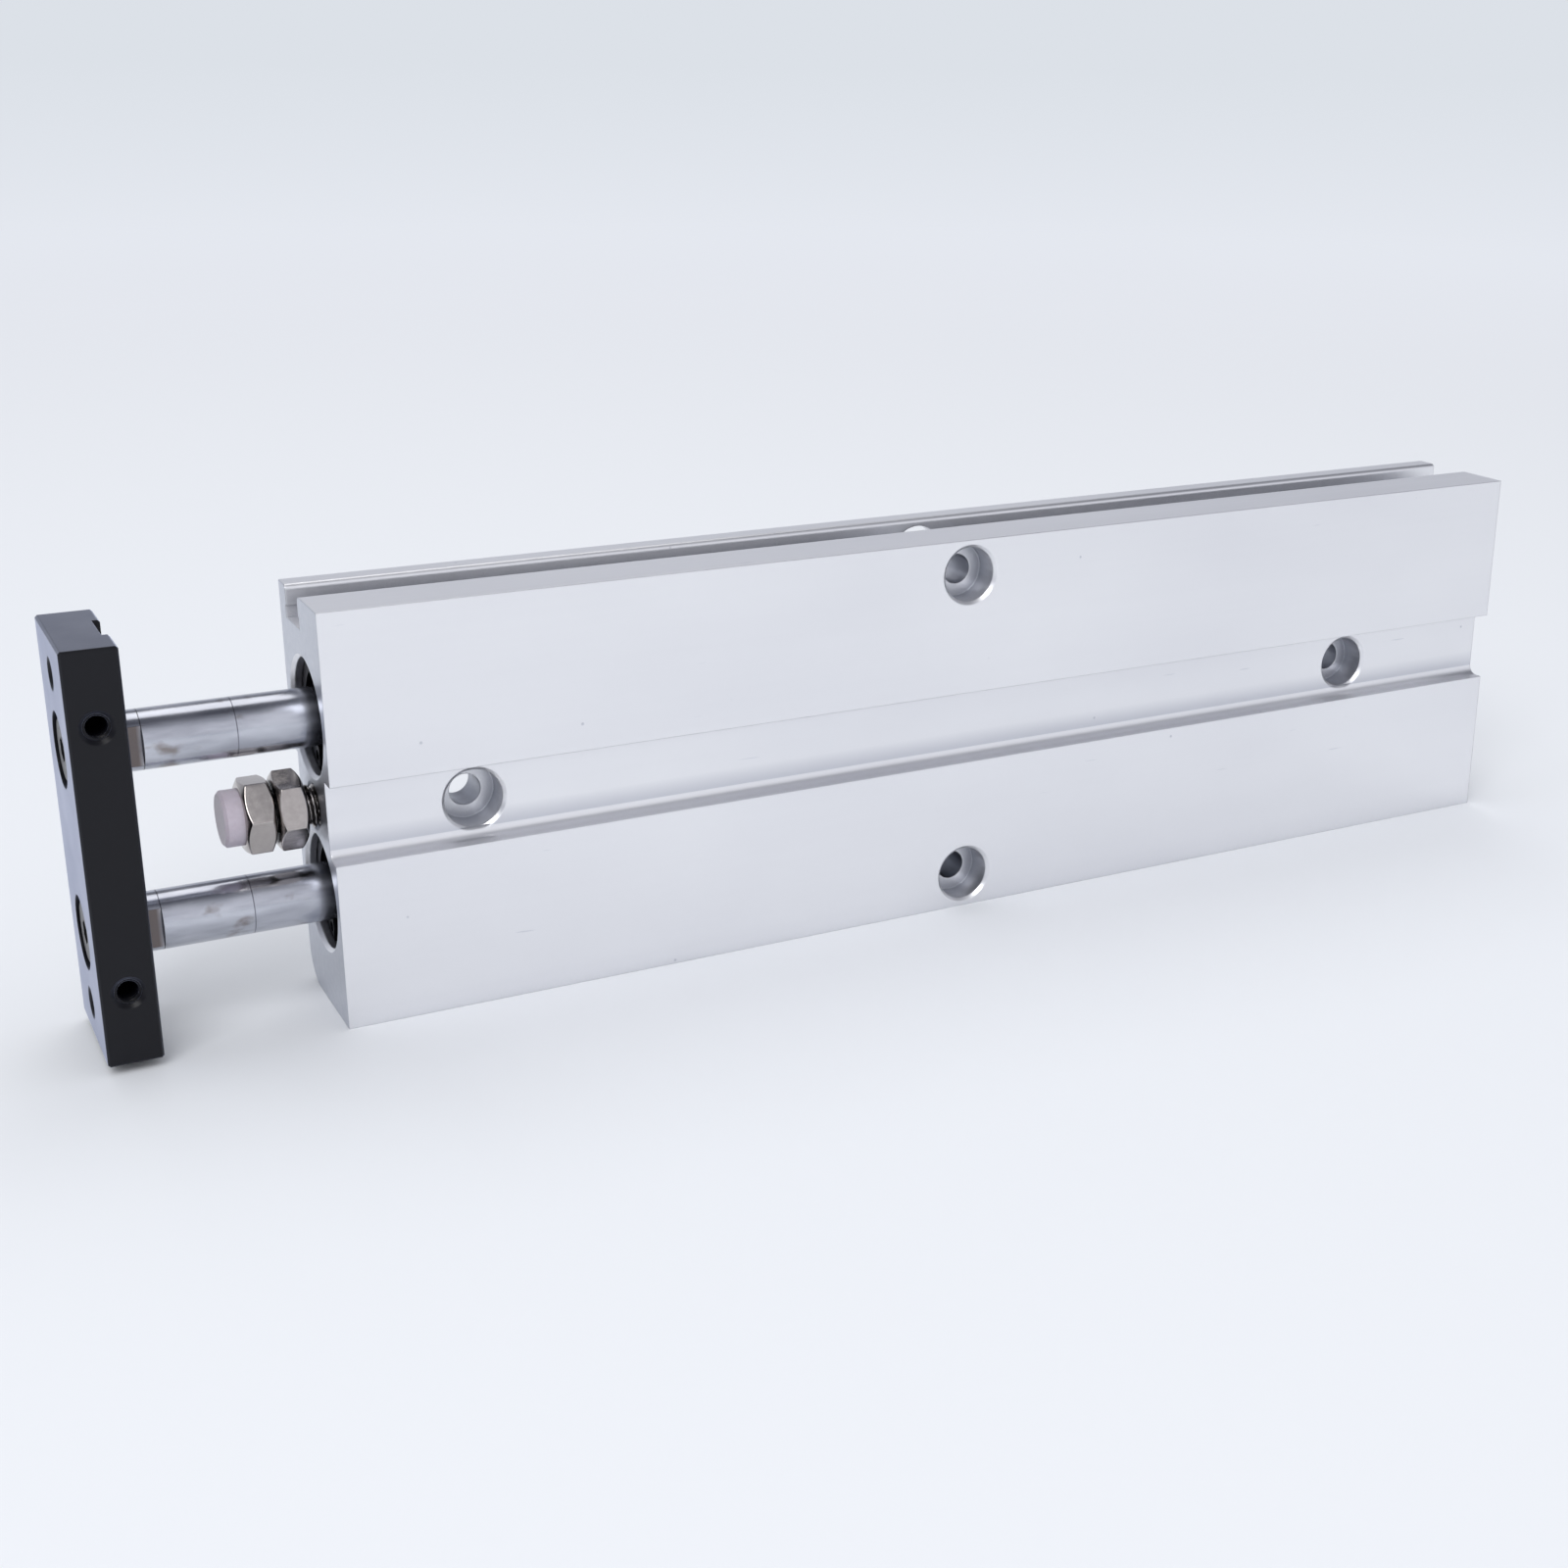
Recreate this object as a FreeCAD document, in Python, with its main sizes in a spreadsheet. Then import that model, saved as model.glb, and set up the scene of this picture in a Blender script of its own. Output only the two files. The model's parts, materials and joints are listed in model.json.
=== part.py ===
import FreeCAD, Part
import math
import os
import Sketcher

# Guided pneumatic cylinder: two pistons side by side in one flat barrel, their rods tied by an end plate.
# X runs along the barrel and is 0 at its rod-end face, Y is 0 midway between the wide faces, and Z is 0
# on the narrow face that the barrel stands on.  Millimetres.  The end plate is drawn part way out.

DRIVING = {
    # barrel extrusion
    "bodyLength": 200.0,
    "bodyThickness": 20.0,
    "bodyWidth": 58.0,
    "rodSpacing": 25.0,
    "boreDiameter": 16.0,
    "boreChamfer": 0.5,
    "channelWidth": 11.0,
    "channelDepth": 2.8,
    "channelFillet": 1.6,
    "backCornerRadius": 5.0,
    # sensor slot in the top narrow face
    "slotFin": 3.5,
    "slotMouth": 6.6,
    "slotDepth": 4.5,
    "slotLedge": 2.8,
    "slotUndercut": 0.4,
    "slotLipRadius": 1.0,
    "slotFinRadius": 0.7,
    # mounting holes of the barrel
    "frontHolePlace": 20.0,
    "rearHolePlace": 171.0,
    "flankHolePlace": 96.0,
    "flankHolePitch": 47.5,
    "mountHole": 4.5,
    "counterboreDiameter": 8.2,
    "counterboreDepth": 4.4,
    "counterboreChamfer": 0.5,
    # air ports in the bottom narrow face
    "frontPortPlace": 13.5,
    "rearPortInset": 12.0,
    "portDiameter": 4.2,
    "portDepth": 5.5,
    "portMouth": 5.2,
    "passageDiameter": 2.6,
    # retaining rings at both ends of each bore
    "ringRecess": 1.5,
    "ringGrooveWidth": 1.1,
    "ringGrooveDepth": 0.4,
    "ringThickness": 1.0,
    "ringBand": 1.9,
    "ringLugRadius": 1.6,
    "ringLugHole": 1.5,
    "ringLugAngle": 20.0,
    "ringGap": 2.6,
    # rods
    "rodDiameter": 8.0,
    "rodEndChamfer": 0.4,
    "flatsWidth": 6.0,
    "flatsLength": 3.0,
    "spigotDiameter": 6.0,
    "spigotLength": 7.3,
    "rodShoulderDepth": 1.5,
    "plateThread": 5.0,
    "plateThreadDepth": 12.0,
    "pistonThread": 4.0,
    "pistonThreadDepth": 10.0,
    # rod covers
    "coverLength": 20.0,
    "coverHeadLength": 9.0,
    "noseDiameter": 13.0,
    "edgeChamfer": 0.3,
    "sealWallThickness": 1.2,
    "sealGrooveWidth": 3.2,
    "sealGrooveDiameter": 13.0,
    "sealLipDepth": 1.4,
    "ringSectionDiameter": 1.6,
    "ringSectionPlace": 5.4,
    "ringSectionGroove": 2.0,
    "bushDiameter": 10.0,
    "bushLength": 12.0,
    "cushionThickness": 2.0,
    # rear caps
    "capLength": 7.0,
    "capRecessDiameter": 9.0,
    "capRecessDepth": 0.8,
    "capGroovePlace": 3.0,
    "rearCushionDiameter": 10.0,
    "rearCushionThickness": 1.5,
    "cushionStemDiameter": 4.0,
    "cushionStemLength": 2.3,
    # pistons
    "pistonFrontLength": 7.0,
    "pistonSealPlace": 1.0,
    "pistonSealWidth": 2.6,
    "pistonSealFloor": 11.8,
    "wearRingPlace": 4.4,
    "wearRingWidth": 1.8,
    "wearRingThickness": 0.9,
    "wearRingAngle": 350.0,
    "magnetLength": 2.0,
    "magnetDiameter": 15.0,
    "pistonFlangeLength": 1.5,
    "pistonBossLength": 2.5,
    "pistonBossDiameter": 10.0,
    "pistonScrewRecess": 2.8,
    "retractReserve": 0.8,
    # end plate
    "plateGap": 23.85,
    "plateThickness": 7.0,
    "plateHeight": 55.4,
    "plateDepth": 20.0,
    "plateChamfer": 0.3,
    "rodSeatDepth": 0.5,
    "plateRecessDiameter": 10.0,
    "plateRecessDepth": 3.8,
    "toolingPitch": 45.0,
    "sideHolePitch": 35.5,
    "sideHoleDepth": 6.0,
    "tappedDiameter": 3.4,
    "tappedMouth": 4.5,
    "leadReliefWidth": 7.5,
    "leadReliefHeight": 4.0,
    "leadReliefDepth": 1.0,
    # screws that hold the plate and the pistons
    "plateHeadDiameter": 8.5,
    "plateHeadHeight": 3.5,
    "plateKey": 3.0,
    "plateScrewReach": 9.0,
    "pistonHeadDiameter": 7.0,
    "pistonHeadHeight": 2.6,
    "pistonKey": 2.5,
    "pistonScrewReach": 8.0,
    "keyDepth": 1.8,
    # adjusting bolt, its lock nut and its bumper
    "boltDiameter": 6.0,
    "boltHoleDepth": 9.0,
    "boltHoleMouth": 7.0,
    "boltReach": 7.0,
    "boltHeadHeight": 4.0,
    "hexWidth": 10.0,
    "headChamfer": 0.9,
    "nutHeight": 4.4,
    "nutChamfer": 0.6,
    "nutGap": 1.4,
    "bumperDiameter": 7.7,
    "bumperThickness": 2.5,
    "bumperChamfer": 0.4,
    "bumperStemDiameter": 4.0,
    "bumperStemLength": 2.5,
    # clearances
    "slideClearance": 0.05,
    "wallClearance": 0.15,
    "endClearance": 0.1,
}

class Size:
    """A length that carries both its number and the sheet expression that makes it."""

    def __init__(self, number, text):
        self.number = float(number)
        self.text = text

    def __add__(self, other):
        other = as_size(other)
        return Size(self.number + other.number, f"({self.text} + {other.text})")

    def __sub__(self, other):
        other = as_size(other)
        return Size(self.number - other.number, f"({self.text} - {other.text})")

    def __mul__(self, factor):
        return Size(self.number * factor, f"({self.text} * {factor!r})")

    def __truediv__(self, factor):
        return Size(self.number / factor, f"({self.text} / {factor!r})")

    def __neg__(self):
        return Size(-self.number, f"(-1 * {self.text})")


def as_size(value):
    return value if isinstance(value, Size) else Size(value, repr(float(value)))


def fill_sheet(doc):
    """The sheet of driving dimensions, and the same dimensions as Size values by name."""
    sheet = doc.addObject("Spreadsheet::Sheet", "Sizes")
    sizes = {}
    for row, (name, number) in enumerate(DRIVING.items(), start=1):
        sheet.set(f"A{row}", name)
        sheet.set(f"B{row}", str(number))
        sheet.setAlias(f"B{row}", name)
        sizes[name] = Size(number, f"Sizes.{name}")
    doc.recompute()
    return sizes


doc = FreeCAD.newDocument("guided_cylinder")
S = fill_sheet(doc)
ZERO = as_size(0)
MIDDLE = S["bodyWidth"] / 2
AXES = {"lower": MIDDLE - S["rodSpacing"] / 2, "upper": MIDDLE + S["rodSpacing"] / 2}
BORE = S["boreDiameter"] / 2
BODY_RADIUS = BORE - S["slideClearance"]
ROD = S["rodDiameter"] / 2
ROD_PASS = ROD + S["wallClearance"]

# Places along X, worked out from the two ends towards the middle.
COVER_FACE = S["ringRecess"] + S["ringGrooveWidth"]
CUSHION_FACE = COVER_FACE + S["coverLength"]
CAP_OUTER = S["bodyLength"] - S["ringRecess"] - S["ringGrooveWidth"]
CAP_INNER = CAP_OUTER - S["capLength"]
BUMPER_REACH = (
    S["nutGap"] + S["nutHeight"] + S["slideClearance"] + S["boltHeadHeight"] + S["bumperThickness"]
)
RETRACT_TRAVEL = S["plateGap"] - BUMPER_REACH
PISTON_REAR = CAP_INNER - S["rearCushionThickness"] - S["retractReserve"] - RETRACT_TRAVEL
PISTON_REAR_HALF = PISTON_REAR - S["pistonFlangeLength"] - S["pistonBossLength"]
MAGNET_FACE = PISTON_REAR_HALF - S["magnetLength"]
PISTON_FACE = MAGNET_FACE - S["pistonFrontLength"]
PLATE_INNER = -S["plateGap"]
PLATE_OUTER = PLATE_INNER - S["plateThickness"]
ROD_FRONT = PLATE_INNER - S["rodSeatDepth"]


# ---------------------------------------------------------------- helpers


def new_body(label, x=ZERO, y=ZERO, z=ZERO):
    """An empty body whose own origin sits at (x, y, z) of the assembly."""
    body = doc.addObject("PartDesign::Body", label)
    body.Label = label
    for axis, place in (("x", x), ("y", y), ("z", z)):
        body.setExpression(f"Placement.Base.{axis}", place.text)
    return body


def new_sketch(body, name, plane, offset=ZERO):
    """A sketch on one of the body's origin planes, moved along the plane's normal."""
    sketch = body.newObject("Sketcher::SketchObject", name)
    support = [f for f in body.Origin.OriginFeatures if f.Role == plane][0]
    sketch.AttachmentSupport = [(support, "")]
    sketch.MapMode = "FlatFace"
    sketch.setExpression("AttachmentOffset.Base.z", offset.text)
    return sketch


def bind(item, prop, size):
    item.setExpression(prop, size.text)


def constrain(sketch, constraint, size):
    index = sketch.addConstraint(constraint)
    sketch.setExpression(f"Constraints[{index}]", size.text)


def fix_point(sketch, curve, end, x, y):
    constrain(sketch, Sketcher.Constraint("DistanceX", curve, end, x.number), x)
    constrain(sketch, Sketcher.Constraint("DistanceY", curve, end, y.number), y)


def polygon(sketch, corners):
    """A closed outline of straight lines, every corner placed from named sizes."""
    corners = [(as_size(x), as_size(y)) for x, y in corners]
    points = [FreeCAD.Vector(x.number, y.number, 0) for x, y in corners]
    lines = []
    for start, end in zip(points, points[1:] + points[:1]):
        lines.append(sketch.addGeometry(Part.LineSegment(start, end)))
    for line, after, (x, y) in zip(lines, lines[1:] + lines[:1], corners[1:] + corners[:1]):
        sketch.addConstraint(Sketcher.Constraint("Coincident", line, 2, after, 1))
        fix_point(sketch, after, 1, x, y)


def circle(sketch, x, y, radius):
    x, y = as_size(x), as_size(y)
    centre = FreeCAD.Vector(x.number, y.number, 0)
    curve = sketch.addGeometry(Part.Circle(centre, FreeCAD.Vector(0, 0, 1), radius.number))
    constrain(sketch, Sketcher.Constraint("Radius", curve, radius.number), radius)
    fix_point(sketch, curve, 3, x, y)


def rounded_outline(sketch, corners):
    """A closed outline of level and upright lines; a corner given a radius becomes a tangent arc."""
    count = len(corners)
    points = [FreeCAD.Vector(x.number, y.number, 0) for x, y, _ in corners]
    radii = [r.number if r else 0.0 for _, _, r in corners]
    ways = []
    for i in range(count):
        ways.append((points[(i + 1) % count] - points[i]).normalize())
    lines = []
    for i in range(count):
        start = points[i] + ways[i] * radii[i]
        end = points[(i + 1) % count] - ways[i] * radii[(i + 1) % count]
        lines.append(sketch.addGeometry(Part.LineSegment(start, end)))
    for i in range(count):
        level = abs(ways[i].x) > abs(ways[i].y)
        x, y, _ = corners[i]
        sketch.addConstraint(Sketcher.Constraint("Horizontal" if level else "Vertical", lines[i]))
        if level:
            constrain(sketch, Sketcher.Constraint("DistanceY", lines[i], 1, y.number), y)
        else:
            constrain(sketch, Sketcher.Constraint("DistanceX", lines[i], 1, x.number), x)
    for i in range(count):
        before, after, radius = lines[i - 1], lines[i], corners[i][2]
        if radius:
            round_corner(sketch, before, after, points[i], ways[i - 1], ways[i], radius)
        else:
            sketch.addConstraint(Sketcher.Constraint("Coincident", before, 2, after, 1))


def round_corner(sketch, before, after, corner, way_in, way_out, radius):
    """The tangent arc between two lines that meet at a right angle."""
    centre = corner + (way_out - way_in) * radius.number
    left = way_in.cross(way_out).z > 0
    first = corner - way_in * radius.number if left else corner + way_out * radius.number
    start = math.atan2(first.y - centre.y, first.x - centre.x)
    ring = Part.Circle(centre, FreeCAD.Vector(0, 0, 1), radius.number)
    arc = sketch.addGeometry(Part.ArcOfCircle(ring, start, start + math.pi / 2))
    sketch.addConstraint(Sketcher.Constraint("Tangent", before, 2, arc, 1 if left else 2))
    sketch.addConstraint(Sketcher.Constraint("Tangent", arc, 2 if left else 1, after, 1))
    constrain(sketch, Sketcher.Constraint("Radius", arc, radius.number), radius)


def pad(body, name, sketch, length):
    feature = body.newObject("PartDesign::Pad", name)
    feature.Profile = sketch
    bind(feature, "Length", length)
    return feature


def pocket(body, name, sketch, depth, reverse=False):
    feature = body.newObject("PartDesign::Pocket", name)
    feature.Profile = sketch
    feature.Reversed = reverse
    bind(feature, "Length", depth)
    return feature


def pocket_both_ways(body, name, sketch):
    feature = body.newObject("PartDesign::Pocket", name)
    feature.Profile = sketch
    feature.Type = "ThroughAll"
    feature.Midplane = True
    return feature


def hole(body, name, sketch, diameter, depth=None, counterbore=None, mouth=None, reverse=False):
    """Flat-bottomed holes at the sketch's circles, with a counterbore or a countersunk mouth."""
    doc.recompute()
    feature = body.newObject("PartDesign::Hole", name)
    feature.Profile = sketch
    feature.ThreadType = "None"
    feature.Reversed = reverse
    bind(feature, "Diameter", diameter)
    if depth is None:
        feature.DepthType = "ThroughAll"
    else:
        feature.DepthType = "Dimension"
        bind(feature, "Depth", depth)
        feature.DrillPoint = "Flat"
    if counterbore:
        feature.HoleCutType = "Counterbore"
        bind(feature, "HoleCutDiameter", counterbore[0])
        bind(feature, "HoleCutDepth", counterbore[1])
    if mouth:
        feature.HoleCutType = "Countersink"
        feature.HoleCutCountersinkAngle = 90
        bind(feature, "HoleCutDiameter", mouth)
    return feature


def turned(label, corners, x, z, angle=None):
    """A turned piece: corners are (along the axis, out from the axis)."""
    body = new_body(label, x=x, z=z)
    profile = new_sketch(body, f"{label}_profile", "XZ_Plane")
    polygon(profile, corners)
    spin = body.newObject("PartDesign::Revolution", f"{label}_turning")
    spin.Profile = profile
    spin.ReferenceAxis = (profile, ["H_Axis"])
    spin.Angle = 360.0
    if angle:
        bind(spin, "Angle", angle)
    return body


def hexagon(sketch, width):
    """A hexagon with two level sides up and down the sketch's first axis."""
    half = width / 2
    corner = width / math.sqrt(3.0)
    tip = corner / 2
    polygon(sketch, [(half, -tip), (half, tip), (0, corner), (-half, tip), (-half, -tip), (0, -corner)])


# ---------------------------------------------------------------- barrel


def barrel_outline(sketch):
    """The extrusion's section: two shallow channels, the sensor slot and one rounded long corner."""
    face = S["bodyThickness"] / 2
    floor = face - S["channelDepth"]
    low = MIDDLE - S["channelWidth"] / 2
    high = MIDDLE + S["channelWidth"] / 2
    top = S["bodyWidth"]
    ledge = top - S["slotLedge"]
    bed = top - S["slotDepth"]
    fin = face - S["slotFin"]
    lug = fin - S["slotMouth"]
    deep_fin = fin + S["slotUndercut"]
    deep_lug = lug - S["slotUndercut"]
    fillet = S["channelFillet"]
    rounded_outline(sketch, [
        (-face, ZERO, None),
        (-face, low, None),
        (-floor, low, fillet),
        (-floor, high, None),
        (-face, high, None),
        (-face, top, None),
        (lug, top, S["slotLipRadius"]),
        (lug, ledge, None),
        (deep_lug, ledge, None),
        (deep_lug, bed, None),
        (deep_fin, bed, None),
        (deep_fin, ledge, None),
        (fin, ledge, None),
        (fin, top, S["slotFinRadius"]),
        (face, top, None),
        (face, high, None),
        (floor, high, None),
        (floor, low, fillet),
        (face, low, None),
        (face, ZERO, S["backCornerRadius"]),
    ])
    for axis in AXES.values():
        circle(sketch, 0, axis, BORE)


def cut_bore_ends(body, side, axis):
    """Bevels both mouths of a bore and turns the retaining ring's groove near each of them."""
    sketch = new_sketch(body, f"{side}_bore_ends", "XZ_Plane")
    wall = axis + BORE
    inside = wall - S["boreChamfer"]
    mouth = wall + S["boreChamfer"]
    groove = wall + S["ringGrooveDepth"]
    for outer, sign in ((ZERO, 1), (S["bodyLength"], -1)):
        bevel = outer + S["boreChamfer"] * sign
        near = outer + S["ringRecess"] * sign
        far = near + S["ringGrooveWidth"] * sign
        polygon(sketch, [(outer, inside), (bevel, inside), (bevel, wall), (outer, mouth)])
        polygon(sketch, [(near, inside), (far, inside), (far, groove), (near, groove)])
    left = FreeCAD.Vector(0, axis.number, 0)
    right = FreeCAD.Vector(S["bodyLength"].number, axis.number, 0)
    centre_line = sketch.addGeometry(Part.LineSegment(left, right), True)
    fix_point(sketch, centre_line, 1, ZERO, axis)
    fix_point(sketch, centre_line, 2, S["bodyLength"], axis)
    groove_cut = body.newObject("PartDesign::Groove", f"{side}_bore_grooves")
    groove_cut.Profile = sketch
    groove_cut.ReferenceAxis = (sketch, ["Axis0"])
    groove_cut.Angle = 360.0


def drill_mounting_holes(body):
    """Through holes counterbored from both wide faces: two in the channel, two beside the bores."""
    face = S["bodyThickness"] / 2
    floor = face - S["channelDepth"]
    half_pitch = S["flankHolePitch"] / 2
    channel = [(S["frontHolePlace"], MIDDLE), (S["rearHolePlace"], MIDDLE)]
    flank = [(S["flankHolePlace"], MIDDLE - half_pitch), (S["flankHolePlace"], MIDDLE + half_pitch)]
    through = new_sketch(body, "mounting_centres", "XZ_Plane")
    for x, z in channel + flank:
        circle(through, x, z, S["mountHole"] / 2)
    pocket_both_ways(body, "mounting_holes", through)
    bored, depth = S["counterboreDiameter"], S["counterboreDepth"]
    mouth = bored + S["counterboreChamfer"] * 2
    for group, level, places in (("channel", floor, channel), ("flank", face, flank)):
        for side, offset in (("front", level), ("back", -level)):
            sketch = new_sketch(body, f"{group}_{side}_centres", "XZ_Plane", offset)
            for x, z in places:
                circle(sketch, x, z, bored / 2)
            name = f"{group}_{side}_counterbores"
            hole(body, name, sketch, bored, depth, mouth=mouth, reverse=side == "back")


def drill_ports(body):
    """Two threaded ports; a narrow passage goes on through the web, so that both bores are fed."""
    places = (S["frontPortPlace"], S["bodyLength"] - S["rearPortInset"])
    ports = new_sketch(body, "port_centres", "XY_Plane")
    passages = new_sketch(body, "passage_centres", "XY_Plane")
    for x in places:
        circle(ports, x, 0, S["portDiameter"] / 2)
        circle(passages, x, 0, S["passageDiameter"] / 2)
    hole(body, "ports", ports, S["portDiameter"], S["portDepth"], mouth=S["portMouth"], reverse=True)
    pocket(body, "passages", passages, AXES["upper"], reverse=True)


def build_extrusion():
    body = new_body("body_extrusion")
    section = new_sketch(body, "section", "YZ_Plane")
    barrel_outline(section)
    pad(body, "extrusion", section, S["bodyLength"])
    for side, axis in AXES.items():
        cut_bore_ends(body, side, axis)
    bolt_centre = new_sketch(body, "bolt_centre", "YZ_Plane")
    circle(bolt_centre, 0, MIDDLE, S["boltDiameter"] / 2)
    depth, mouth = S["boltHoleDepth"], S["boltHoleMouth"]
    hole(body, "bolt_hole", bolt_centre, S["boltDiameter"], depth, mouth=mouth, reverse=True)
    drill_mounting_holes(body)
    drill_ports(body)


def build_retaining_ring(label, x, z):
    """An internal retaining ring: an eccentric band, open below, with a drilled lug at each end."""
    body = new_body(label, x=x, z=z)
    thickness = S["ringThickness"]
    outer = BORE + S["ringGrooveDepth"] - S["slideClearance"]
    turn = math.radians(S["ringLugAngle"].number)
    lug_centre = outer - S["ringLugRadius"] - S["slideClearance"]
    lugs = [(lug_centre * (math.sin(turn) * side), -lug_centre * math.cos(turn)) for side in (-1, 1)]
    band = new_sketch(body, f"{label}_band", "YZ_Plane")
    circle(band, 0, 0, outer)
    circle(band, 0, -(S["ringBand"] / 6), outer - S["ringBand"])
    pad(body, f"{label}_band_pad", band, thickness)
    ears = new_sketch(body, f"{label}_lugs", "YZ_Plane")
    eyes = new_sketch(body, f"{label}_eyes", "YZ_Plane")
    for y, z_ in lugs:
        circle(ears, y, z_, S["ringLugRadius"])
        circle(eyes, y, z_, S["ringLugHole"] / 2)
    pad(body, f"{label}_lug_pad", ears, thickness)
    gap = new_sketch(body, f"{label}_gap", "YZ_Plane")
    half = S["ringGap"] / 2
    polygon(gap, [(-half, -outer - 1), (half, -outer - 1), (half, -ROD), (-half, -ROD)])
    pocket(body, f"{label}_gap_cut", gap, thickness, reverse=True)
    pocket(body, f"{label}_eye_cut", eyes, thickness, reverse=True)


def build_seal_ring(label, start, z):
    """A sealing ring at its squeezed section: flat on the groove's floor and domed towards the bore."""
    slide = S["slideClearance"]
    width = S["ringSectionGroove"] - slide * 2
    outer = BORE - slide / 2
    inner = BODY_RADIUS - S["ringSectionDiameter"] + slide / 2
    shoulder = outer - S["ringSectionDiameter"] / 4
    turned(label, [
        (0, inner),
        (width, inner),
        (width, shoulder),
        (width * 3 / 4, outer),
        (width / 4, outer),
        (0, shoulder),
    ], start + slide, z)


def build_rod_cover(side, z):
    """Front cover: head with the sealing ring's groove, nose with the bush, groove for the rod seal."""
    length, head = S["coverLength"], S["coverHeadLength"]
    edge = S["edgeChamfer"]
    nose = S["noseDiameter"] / 2
    groove_floor = BODY_RADIUS - S["ringSectionDiameter"]
    groove_start = S["ringSectionPlace"]
    groove_end = groove_start + S["ringSectionGroove"]
    seal_start = S["sealWallThickness"]
    seal_end = seal_start + S["sealGrooveWidth"]
    seal_wall = S["sealGrooveDiameter"] / 2
    bush_start = length - S["bushLength"]
    bush_wall = S["bushDiameter"] / 2
    turned(f"{side}_rod_cover", [
        (0, ROD_PASS),
        (seal_start, ROD_PASS),
        (seal_start, seal_wall),
        (seal_end, seal_wall),
        (seal_end, ROD_PASS),
        (bush_start, ROD_PASS),
        (bush_start, bush_wall),
        (length, bush_wall),
        (length, nose),
        (head, nose),
        (head, BODY_RADIUS),
        (groove_end, BODY_RADIUS),
        (groove_end, groove_floor),
        (groove_start, groove_floor),
        (groove_start, BODY_RADIUS),
        (edge, BODY_RADIUS),
        (0, BODY_RADIUS - edge),
    ], COVER_FACE, z)
    build_seal_ring(f"{side}_cover_o_ring", COVER_FACE + groove_start, z)


def build_rod_guides(side, z):
    """The rod seal, a cup with its lips towards the air, and the plain bush that guides the rod."""
    slide = S["slideClearance"]
    width = S["sealGrooveWidth"] - slide * 2
    inner = ROD + slide
    outer = S["sealGrooveDiameter"] / 2 - slide
    valley = (inner + outer) / 2
    lip = (outer - inner) / 5
    turned(f"{side}_rod_seal", [
        (0, inner),
        (width, inner),
        (width, inner + lip),
        (width - S["sealLipDepth"], valley),
        (width, outer - lip),
        (width, outer),
        (0, outer),
    ], COVER_FACE + S["sealWallThickness"] + slide, z)
    bush_length = S["bushLength"] - S["endClearance"]
    bush_outer = S["bushDiameter"] / 2 - slide
    turned(f"{side}_rod_bush", [
        (0, inner),
        (bush_length, inner),
        (bush_length, bush_outer),
        (0, bush_outer),
    ], COVER_FACE + S["coverLength"] - S["bushLength"], z)


def build_front_cushion(side, z):
    thickness = S["cushionThickness"]
    turned(f"{side}_front_cushion", [
        (0, ROD_PASS),
        (thickness, ROD_PASS),
        (thickness, S["noseDiameter"] / 2 - S["edgeChamfer"]),
        (0, S["noseDiameter"] / 2),
    ], CUSHION_FACE, z)


def build_rear_cap(side, z):
    """Rear plug with a sealing ring's groove, and the cushion whose stem is pushed into it."""
    length = S["capLength"]
    edge = S["edgeChamfer"]
    stem = S["cushionStemDiameter"] / 2
    socket = stem + S["slideClearance"]
    socket_depth = S["cushionStemLength"] + S["endClearance"]
    dish = S["capRecessDiameter"] / 2
    groove_floor = BODY_RADIUS - S["ringSectionDiameter"]
    groove_start = S["capGroovePlace"]
    groove_end = groove_start + S["ringSectionGroove"]
    turned(f"{side}_rear_cap", [
        (0, socket),
        (0, BODY_RADIUS),
        (groove_start, BODY_RADIUS),
        (groove_start, groove_floor),
        (groove_end, groove_floor),
        (groove_end, BODY_RADIUS),
        (length - edge, BODY_RADIUS),
        (length, BODY_RADIUS - edge),
        (length, dish),
        (length - S["capRecessDepth"], dish - edge),
        (length - S["capRecessDepth"], 0),
        (socket_depth, 0),
        (socket_depth, socket),
    ], CAP_INNER, z)
    build_seal_ring(f"{side}_rear_cap_o_ring", CAP_INNER + groove_start, z)
    disc = S["rearCushionThickness"]
    rim = S["rearCushionDiameter"] / 2
    turned(f"{side}_rear_cushion", [
        (0, 0),
        (0, rim),
        (disc, rim),
        (disc, stem),
        (disc + S["cushionStemLength"], stem),
        (disc + S["cushionStemLength"], 0),
    ], CAP_INNER - disc, z)


# ---------------------------------------------------------------- rods, pistons and end plate


def build_rod(side, z):
    """A rod with wrench flats and a tapped hole in front, and a tapped spigot for the piston behind."""
    label = f"{side}_rod"
    shoulder = PISTON_FACE + S["rodShoulderDepth"] - ROD_FRONT
    end = shoulder + S["spigotLength"]
    spigot = S["spigotDiameter"] / 2
    edge = S["rodEndChamfer"]
    front_hole = S["plateThread"] / 2
    rear_hole = S["pistonThread"] / 2
    rear_floor = end - S["pistonThreadDepth"]
    body = turned(label, [
        (0, front_hole),
        (0, ROD - edge),
        (edge, ROD),
        (shoulder, ROD),
        (shoulder, spigot),
        (end, spigot),
        (end, rear_hole),
        (rear_floor, rear_hole),
        (rear_floor, 0),
        (S["plateThreadDepth"], 0),
        (S["plateThreadDepth"], front_hole),
    ], ROD_FRONT, z)
    flats = new_sketch(body, f"{label}_flats", "XY_Plane")
    half = S["flatsWidth"] / 2
    for near, far in ((half, ROD + 1), (-ROD - 1, -half)):
        polygon(flats, [(-1, near), (S["flatsLength"], near), (S["flatsLength"], far), (-1, far)])
    pocket_both_ways(body, f"{label}_flats_cut", flats)


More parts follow.
